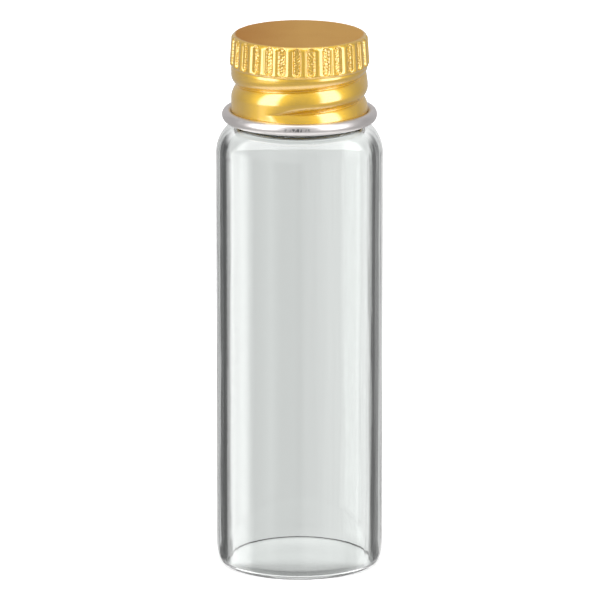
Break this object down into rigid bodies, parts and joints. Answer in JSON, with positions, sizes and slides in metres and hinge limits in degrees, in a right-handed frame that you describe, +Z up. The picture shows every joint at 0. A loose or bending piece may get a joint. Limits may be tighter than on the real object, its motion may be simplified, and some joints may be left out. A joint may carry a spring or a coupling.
{
  "type": "screw cap glass vial",
  "caption": "Clear glass vial with rounded shoulders, closed by a gold metal screw cap with a knurled band, a curled lower rim and a soft liner.",
  "frame": {"origin": "centre of the vial's base, on the plane it stands on", "axes": "+Z up along the vial's axis; the thread starts at the front, -Y"},
  "size_m": [0.022, 0.022, 0.0717],
  "materials": {
    "clear_glass": "clear, polished, faint green-grey in the thick edges",
    "gold_lacquer": "satin gold lacquer over brushed sheet",
    "bare_aluminium": "satin, lightly scratched",
    "liner_foam": "fine closed-cell foam",
    "liner_film": "smooth film"
  },
  "bodies": {
    "vial": {"glass_vial": "clear_glass"},
    "liner": {"liner_foam_disc": "liner_foam", "liner_facing_film": "liner_film"},
    "cap": {"cap_shell": "gold_lacquer", "cap_curled_rim": "bare_aluminium"}
  },
  "joints": [
    {"name": "cap_lift", "type": "slide", "parent": "vial", "child": "liner", "axis": [0, 0, 1], "range_m": [0, 0.015]},
    {"name": "cap_turn", "type": "hinge", "parent": "liner", "child": "cap", "pos_m": [0, 0, 0.0605], "axis": [0, 0, 1], "range_deg": [0, 1800]}
  ],
  "couplings": [
    {"joint": "cap_turn", "follows": "cap_lift", "rad_per_m": 2094.4}
  ]
}
